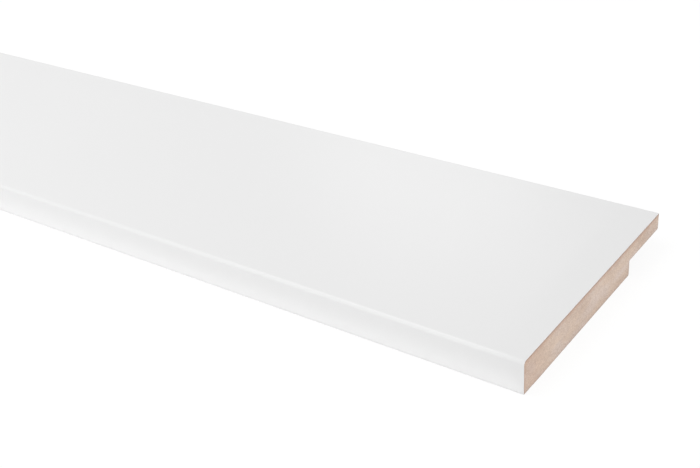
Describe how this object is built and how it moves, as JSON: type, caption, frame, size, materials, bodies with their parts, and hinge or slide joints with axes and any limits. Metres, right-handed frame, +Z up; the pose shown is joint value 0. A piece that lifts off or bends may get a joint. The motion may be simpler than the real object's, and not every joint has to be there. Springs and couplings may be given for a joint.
{
  "type": "window sill",
  "caption": "White-faced fibreboard window sill: a straight moulded board with a rounded top front edge and a deep rebate under its back edge that leaves a thin tongue.",
  "frame": {"origin": "middle of the board's outline seen from above, on the plane that its underside rests on", "axes": "+X along the board, +Y from the front edge towards the tongue and the window, +Z up out of the white top face"},
  "size_m": [1.22, 0.205, 0.025],
  "materials": {
    "board": "smooth satin white facing, a fraction of a millimetre thick, over the top, the rounded nose and the front face of the fibreboard",
    "bare_fibreboard": "bare pale brown medium density fibreboard, which shows on the sawn ends, the underside, the rebate and the back edge"
  },
  "bodies": {
    "root": {"window_sill": "board"}
  },
  "joints": []
}
